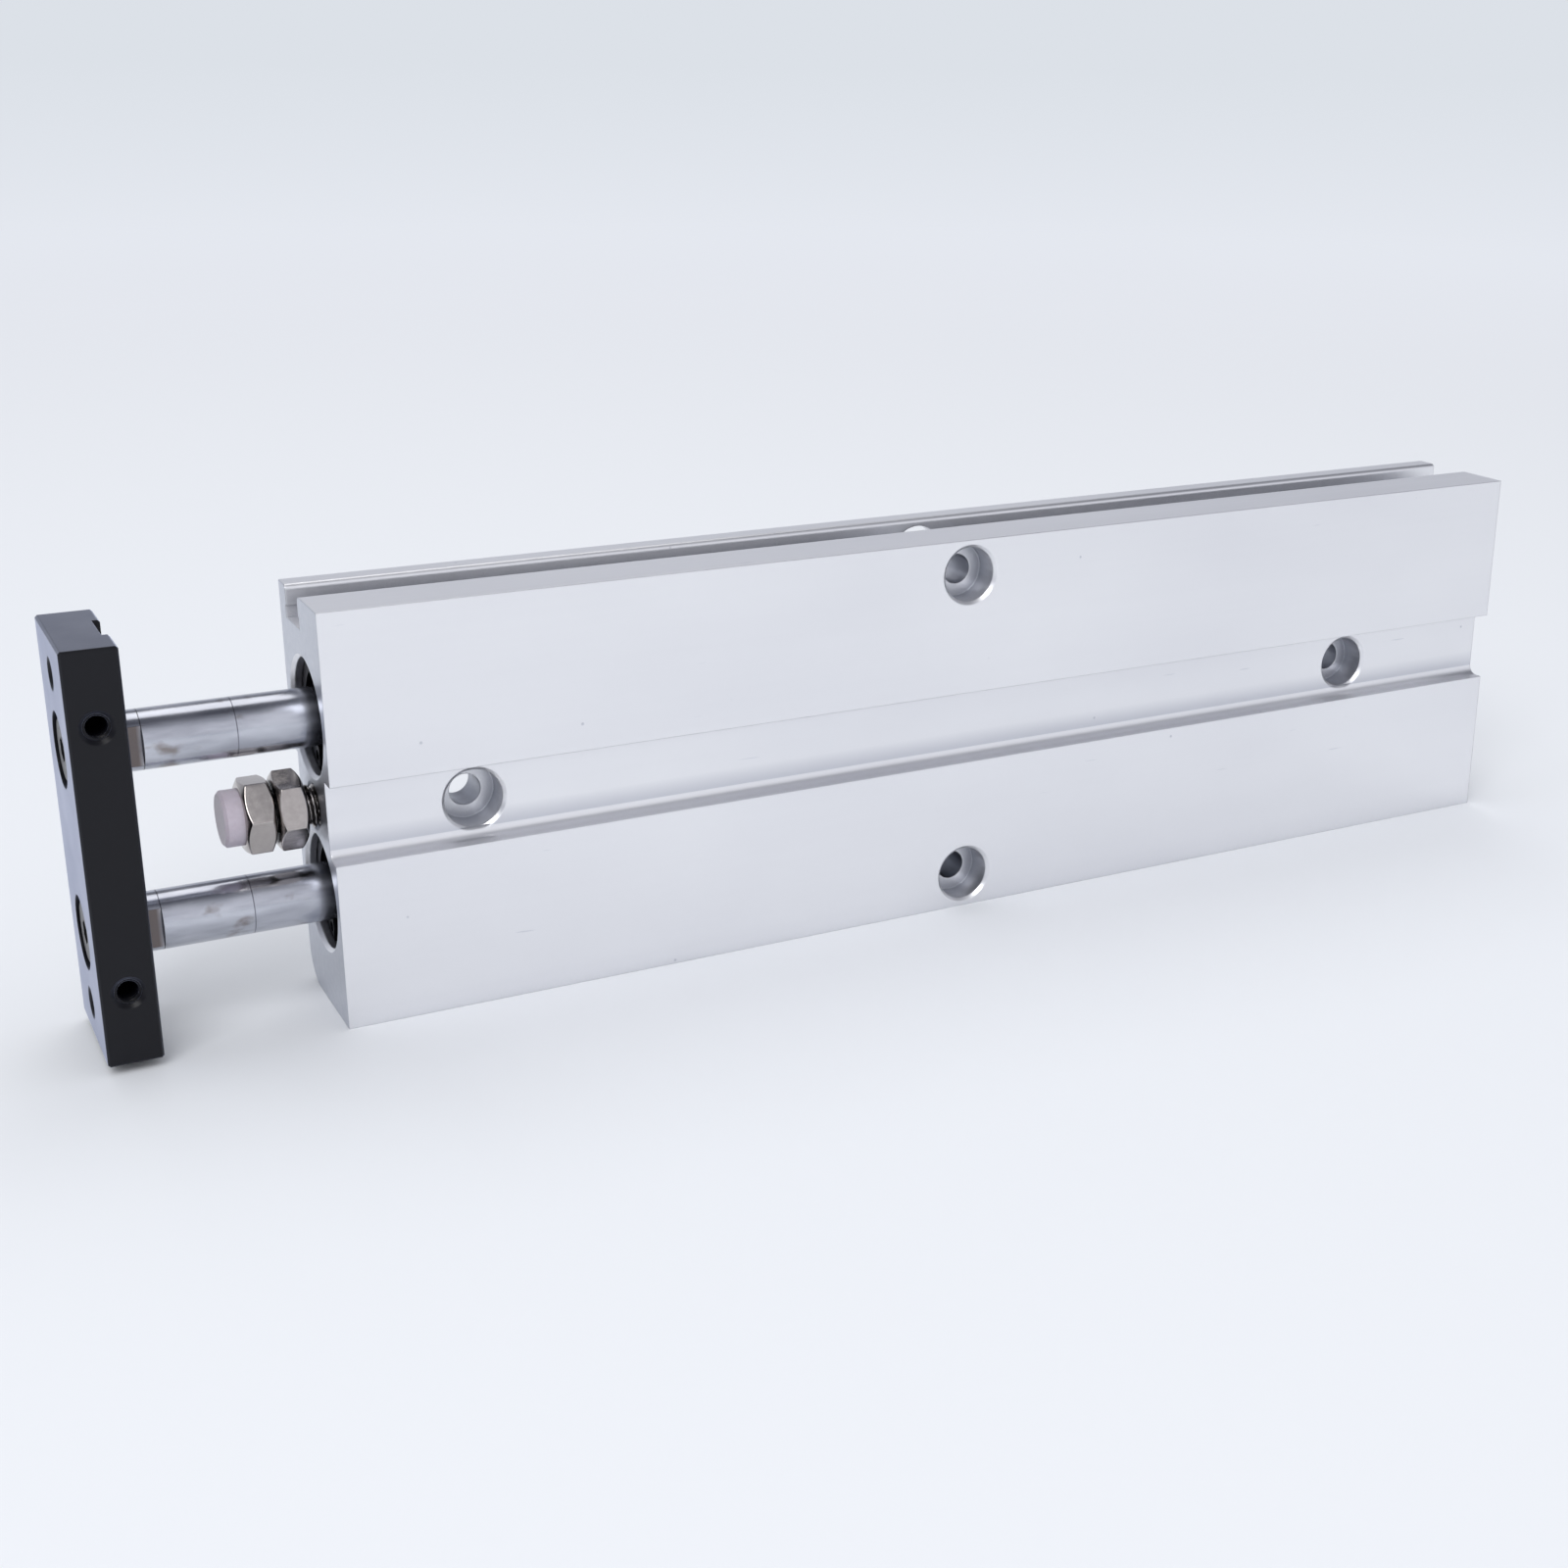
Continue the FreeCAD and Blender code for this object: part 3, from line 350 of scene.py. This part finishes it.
def shaded_hollows(tree, base, reach, colour):
    """Lays a darker colour over the base colour in holes and narrow gaps, by the share of directions in
    which nothing stands closer than reach: 0.5 in a square corner, and less in a hole."""
    open_air = add(tree, "AmbientOcclusion", sockets={"Distance": reach}, output="AO", samples=8)
    return painted(tree, base, colour, open_air, DEEP_SHARE, OPEN_SHARE, 1.0, 0.0)


def relief(tree, shader, height, strength, distance, edge=0.0):
    """Feeds the shader a bumped normal; the sharp edges look rounded to the radius edge."""
    sockets = {"Strength": strength, "Distance": distance, "Height": height}
    if edge:
        sockets["Normal"] = add(tree, "Bevel", edge, samples=6)
    tree.links.new(add(tree, "Bump", sockets=sockets), shader.inputs["Normal"])


def channel_foot_shade(tree, base):
    """Lays painted shade, a soft grey, above the channel's foot over the base colour, on both wide faces."""
    height = add(tree, "SeparateXYZ", add(tree, "TexCoord", output="Object"), output="Z")
    # Painted shade above the channel's foot: strongest at the lower height and gone at the upper one.
    fall = add(tree, "MapRange", height, *CHANNEL_FOOT_SHADE, 0.9, 0.0)
    for face in CHANNEL_FACES:
        foot = add(tree, "Math", near_plane(tree, "Y", face), fall, operation="MULTIPLY")
        base = painted(tree, base, "#C2C4CD", foot)
    return base


def clear_anodised():
    """Extruded 6063 aluminium, etched and clear anodised: a pale satin metal. The die leaves faint lines
    along X. The etch's grain is finer in truth, and is drawn 0.3 mm wide so that it shows. The end faces are
    drawn greyer. Fine scratches and small dark specks lie far apart on the long faces. Painted shade greys
    the foot of the channel, and the holes and gaps."""
    made, tree, shader = finish_of("clear_anodised_aluminium", Metallic=1.0)
    lines = pattern(tree, "TexNoise", (166.7, 1.111, 1.111), Detail=3.0)
    grain = pattern(tree, "TexNoise", (0.303, 0.303, 0.303), Detail=2.0)
    cloud = pattern(tree, "TexNoise", (55.56, 25, 25), Detail=2.0)
    specks = pattern(tree, "TexVoronoi", (8.333, 8.333, 8.333))
    scratches = pattern(tree, "TexNoise", (8.333, 0.6667, 0.6667), (0.3, 0.1, 0.2), Detail=1.0)
    colour = painted(tree, "#EBEBEE", "#F2F2F4", cloud, 0.3, 0.7)
    colour = painted(tree, colour, "#A9ADB8", specks, 0.015, 0.035, 0.5, 0.0)
    colour = painted(tree, colour, "#C2C5CE", scratches, 0.78, 0.82, 0.0, 0.4)
    low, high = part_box("body_extrusion")
    # The end faces are drawn greyer.
    for end in (low[0], high[0]):
        colour = painted(tree, colour, "#C9CCD4", near_plane(tree, "X", end))
    # Painted shade at the channel's foot and in holes and gaps.
    colour = shaded_hollows(tree, channel_foot_shade(tree, colour), 9 * MM, "#9A9DA6")
    tree.links.new(colour, shader.inputs["Base Color"])
    tree.links.new(add(tree, "MapRange", lines, 0.3, 0.7, 0.32, 0.42), shader.inputs["Roughness"])
    relief(tree, shader, add(tree, "Math", lines, grain, operation="ADD"), 0.12, 0.02 * MM, 0.3 * MM)
    return made


def black_anodised():
    """Aluminium under a dyed, sealed oxide, which is matt: near black, and paler and bluer at a low angle.
    Its reflection and sheen are taken out in holes and gaps, which paints shade there so that they stay
    black. The grain is finer in truth, and is drawn 0.4 mm wide so that it shows."""
    made, tree, shader = finish_of("black_anodised_aluminium", IOR=1.5, Sheen_Roughness=0.35,
                                   Sheen_Tint=linear("#DAE2FF"))
    cloud = pattern(tree, "TexNoise", (8.333, 8.333, 8.333), Detail=3.0)
    grain = pattern(tree, "TexNoise", (0.4, 0.4, 0.4), Detail=4.0)
    open_air = add(tree, "AmbientOcclusion", sockets={"Distance": 4 * MM}, output="AO", samples=8)
    tree.links.new(painted(tree, "#08080D", "#101016", cloud), shader.inputs["Base Color"])
    # Painted shade: reflection and sheen fade out in holes and gaps.
    tree.links.new(add(tree, "MapRange", open_air, 0.3, 0.6, 0.0, 0.24), shader.inputs["Specular IOR Level"])
    tree.links.new(add(tree, "MapRange", open_air, 0.3, 0.6, 0.0, 0.8), shader.inputs["Sheen Weight"])
    tree.links.new(add(tree, "MapRange", cloud, 0.3, 0.7, 0.30, 0.42), shader.inputs["Roughness"])
    relief(tree, shader, grain, 0.15, 0.03 * MM, 0.25 * MM)
    return made


def ground_chrome():
    """Hard chromed steel, ground and polished, with a thin coat of oil and a few brown stains; the paler
    lengthwise streaks in its tone are painted reflection. The hair lines round the rod are finer in truth,
    and are drawn 0.2 mm apart so that they show. A fine ring marks where the rod's seal stood. The milled
    flats are brownish grey, and their end step is painted near black: painted shade, as it faces the dark
    plate."""
    made, tree, shader = finish_of("ground_chromed_steel", Metallic=1.0)
    rings = pattern(tree, "TexNoise", (0.2, 16.67, 16.67), Detail=3.0)
    oil_and_reflection_streaks = pattern(tree, "TexNoise", (11.11, 2.381, 2.381), Detail=4.0)
    stain = pattern(tree, "TexNoise", (6.25, 3.846, 3.846), (0.4, 0.7, 0.1), Detail=4.0)
    # Painted reflection: paler lengthwise streaks in the chrome's tone. The same pattern also varies the
    # oil's roughness.
    colour = painted(tree, "#A9ABB4", "#CBCDD5", oil_and_reflection_streaks, 0.35, 0.65)
    colour = painted(tree, colour, "#83848D", near_plane(tree, "X", SEAL_MARK, 0.05 * MM))
    colour = painted(tree, colour, "#7D726B", stain, 0.6, 0.7, 0.0, 0.75)
    flats = add(tree, "Math", near_plane(tree, "X", FLATS_MIDDLE, FLATS_REACH),
                near_plane(tree, "Y", FLATS_FACE, 0.02 * MM), operation="MULTIPLY")
    colour = painted(tree, colour, "#6C6462", flats)
    # Painted shade: the flats' end step, which faces the dark plate, is painted near black.
    colour = painted(tree, colour, "#101012", near_plane(tree, "X", FLATS_END, 0.03 * MM))
    colour = shaded_hollows(tree, colour, 4 * MM, "#5A5C66")
    tree.links.new(colour, shader.inputs["Base Color"])
    tree.links.new(add(tree, "MapRange", oil_and_reflection_streaks, 0.3, 0.7, 0.15, 0.27), shader.inputs["Roughness"])
    relief(tree, shader, rings, 0.1, 0.01 * MM)
    return made


def plain_metal(name, dark, light, low, high, step):
    """A bare or plated metal: two near tones and a roughness from low to high, which drift together over
    step millimetres."""
    made, tree, shader = finish_of(name, Metallic=1.0)
    drift = pattern(tree, "TexNoise", (step, step, step), Detail=5.0)
    colour = shaded_hollows(tree, painted(tree, dark, light, drift), 3 * MM, "#2E2C2C")
    tree.links.new(colour, shader.inputs["Base Color"])
    tree.links.new(add(tree, "MapRange", drift, 0.3, 0.7, low, high), shader.inputs["Roughness"])
    relief(tree, shader, drift, 0.1, 0.02 * MM)
    return made


def moulded(name, dark, light, rough, step):
    """Rubber or plastic from a mould: a fine grain, which is step millimetres wide, over two near tones."""
    made, tree, shader = finish_of(name, Roughness=rough, IOR=1.5)
    grain = pattern(tree, "TexNoise", (step, step, step), Detail=4.0)
    tree.links.new(painted(tree, dark, light, grain), shader.inputs["Base Color"])
    relief(tree, shader, grain, 0.2, 0.03 * MM)
    return made


def cast_urethane():
    """A milky urethane pad: some light passes through it, so its rim glows pale."""
    made = moulded("cast_urethane", "#B9AFBA", "#C9C1CC", 0.42, 0.6)
    shader = made.node_tree.nodes["Principled BSDF"]
    shader.inputs["Subsurface Weight"].default_value = 0.35
    shader.inputs["Subsurface Radius"].default_value = (1.0, 0.8, 0.8)
    shader.inputs["Subsurface Scale"].default_value = 1.2 * MM
    return made


NICKEL = plain_metal("nickel_plated_steel", "#A9A29F", "#C4BEBA", 0.14, 0.26, 0.9)
BLACK_STEEL = plain_metal("oiled_black_steel", "#2B2B2E", "#424247", 0.28, 0.42, 0.5)
ZINC = plain_metal("zinc_plated_steel", "#8E939C", "#ADB2BA", 0.22, 0.36, 0.7)
MACHINED = plain_metal("machined_aluminium", "#C6C9CF", "#D9DBE0", 0.22, 0.34, 0.4)
DARK_ANODISED = plain_metal("dark_anodised_aluminium", "#33343A", "#4A4B52", 0.3, 0.42, 0.5)
BRONZE = plain_metal("oil_filled_bronze", "#7A5B3A", "#A07B50", 0.3, 0.5, 0.2)
MAGNET = plain_metal("bonded_magnet", "#3A3835", "#504E4A", 0.45, 0.6, 0.2)
NYLON = moulded("filled_nylon", "#2A2B2C", "#37393A", 0.5, 0.4)
RUBBER = moulded("nitrile_rubber", "#141415", "#202022", 0.55, 0.3)
CUSHION = moulded("cushion_urethane", "#3B4A3A", "#4A5B48", 0.5, 0.4)
BODY_METAL = clear_anodised()
PLATE_METAL = black_anodised()
CHROME = ground_chrome()
BUMPER = cast_urethane()

FINISHES = {
    "body_extrusion": BODY_METAL,
    "end_plate": PLATE_METAL,
    "adjusting_bolt": NICKEL,
    "lock_nut": NICKEL,
    "bolt_bumper": BUMPER,
}
BORE_FINISHES = {
    "rod": CHROME,
    "rod_cover": DARK_ANODISED,
    "rod_bush": BRONZE,
    "rod_seal": RUBBER,
    "cover_o_ring": RUBBER,
    "front_retaining_ring": BLACK_STEEL,
    "rear_retaining_ring": BLACK_STEEL,
    "front_cushion": CUSHION,
    "rear_cap": MACHINED,
    "rear_cap_o_ring": RUBBER,
    "rear_cushion": CUSHION,
    "piston_front": MACHINED,
    "piston_magnet": MAGNET,
    "piston_rear": MACHINED,
    "piston_screw": ZINC,
    "piston_seal": RUBBER,
    "piston_wear_ring": NYLON,
    "plate_screw": BLACK_STEEL,
}
for side in BORES:
    for part, finish in BORE_FINISHES.items():
        FINISHES[f"{side}_{part}"] = finish
for node, finish in FINISHES.items():
    slots = frame["nodes"][node].data.materials
    slots.clear()
    slots.append(finish)


build_adjusting_bolt()
build_lock_nut()
build_hole_threads()


# ---------------------------------------------------------------- stage, light and camera

BACKDROP = "#DCE1E8"
FLOOR_RADIUS = 40.0
MIDDLE = Vector((0.08, 0, 0.02))


def shown_rays(tree):
    """1 for rays from the eye and for mirrored or refracted rays, and 0 for all others."""
    path = add(tree, "LightPath", output=None).outputs
    seen = add(tree, "Math", path["Is Camera Ray"], path["Is Glossy Ray"], operation="MAXIMUM")
    return add(tree, "Math", seen, path["Is Transmission Ray"], operation="MAXIMUM")


def floor_finish():
    """Pale and matt where the shadow lies. For the eye and for mirrored rays it turns into a glow from
    0.35 m to 1.3 m away, which takes the backdrop's colour with distance, so no horizon shows."""
    made, tree, shader = finish_of("pale_floor", Roughness=0.9, Specular_IOR_Level=0.2)
    shader.inputs["Base Color"].default_value = linear("#E7E9ED")
    place = add(tree, "TexCoord", output="Object")
    away = add(tree, "VectorMath", place, output="Value", operation="LENGTH")
    fade = add(tree, "MapRange", away, 0.35, 1.3, interpolation_type="SMOOTHSTEP")
    share = add(tree, "Math", fade, shown_rays(tree), operation="MULTIPLY")
    nearness = add(tree, "Math", 1.0, away, operation="DIVIDE")
    glow = add(tree, "Emission", painted(tree, BACKDROP, "#E9ECF4", nearness, 0.1, 1.2), 1.0)
    both = add(tree, "MixShader", share, shader.outputs[0], glow)
    tree.links.new(both, tree.nodes["Material Output"].inputs["Surface"])
    return made


def build_floor():
    """A round, flat floor about the part."""
    rim = FLOOR_RADIUS * rays(np.linspace(0, 2 * math.pi, 96, endpoint=False))
    mesh = bpy.data.meshes.new("floor")
    mesh.from_pydata(np.pad(rim, ((0, 0), (0, 1))).tolist(), [], [list(range(len(rim)))])
    mesh.materials.append(floor_finish())
    floor = bpy.data.objects.new("floor", mesh)
    bpy.context.scene.collection.objects.link(floor)


def build_world():
    """The sky that the eye and mirrored rays see: the backdrop's colour at the horizon, and greyer with
    height; a pale screen stands towards -Y and a darker one towards -X. All other rays get a plain fill
    light."""
    world = bpy.data.worlds.new("studio")
    bpy.context.scene.world = world
    world.use_nodes = True
    tree = world.node_tree
    tree.nodes.clear()
    way = add(tree, "TexCoord", output="Generated")
    east, north, height = add(tree, "SeparateXYZ", way, output=None).outputs
    colour = painted(tree, BACKDROP, "#CBCED8", height, 0.03, 0.15)
    colour = painted(tree, colour, "#666871", height, 0.42, 0.56)
    risen = add(tree, "MapRange", height, 0.0, 0.1)
    front = add(tree, "MapRange", north, -0.2, -0.8)
    left = add(tree, "MapRange", east, -0.45, -0.95)
    for side, tone in ((front, "#E9EBF2"), (left, "#8E929E")):
        colour = painted(tree, colour, tone, add(tree, "Math", side, risen, operation="MULTIPLY"))
    sky = add(tree, "Background", colour, 1.0)
    fill = add(tree, "Background", linear("#F4F6FA"), 0.78)
    both = add(tree, "MixShader", shown_rays(tree), fill, sky)
    add(tree, "OutputWorld", both, output=None)


def add_lamp(name, place, size, power):
    """A square, white soft box at place, turned to MIDDLE."""
    lamp = bpy.data.lights.new(name, "AREA")
    lamp.size = size
    lamp.energy = power
    made = bpy.data.objects.new(name, lamp)
    made.location = place
    made.rotation_euler = (MIDDLE - Vector(place)).to_track_quat("-Z", "Y").to_euler()
    bpy.context.scene.collection.objects.link(made)


def add_camera():
    """The camera stands at the rod end, to the left of the part, and looks along it and down."""
    turn, drop, tilt = math.radians(28.968), math.radians(19.204), math.radians(0.76)
    ahead = Vector((math.sin(turn) * math.cos(drop), math.cos(turn) * math.cos(drop), -math.sin(drop)))
    level = Vector((math.cos(turn), -math.sin(turn), 0))
    above = level.cross(ahead)
    right = level * math.cos(tilt) + above * math.sin(tilt)
    up = above * math.cos(tilt) - level * math.sin(tilt)
    place = Vector((-0.05943, -0.2722, 0.12729))
    lens = bpy.data.cameras.new("camera")
    lens.sensor_width = 36
    lens.lens = 48.4965
    lens.shift_x = -0.078625
    lens.shift_y = -0.005125
    made = bpy.data.objects.new("camera", lens)
    made.matrix_world = Matrix.Translation(place) @ Matrix((right, up, -ahead)).transposed().to_4x4()
    bpy.context.scene.collection.objects.link(made)
    bpy.context.scene.camera = made


bpy.context.scene.view_settings.view_transform = "Standard"
build_floor()
build_world()
add_lamp("key", (-0.5, -0.7, 1.0), 0.7, 6.2)
add_lamp("back", (0.2, 0.6, 1.2), 0.8, 3.0)
add_camera()
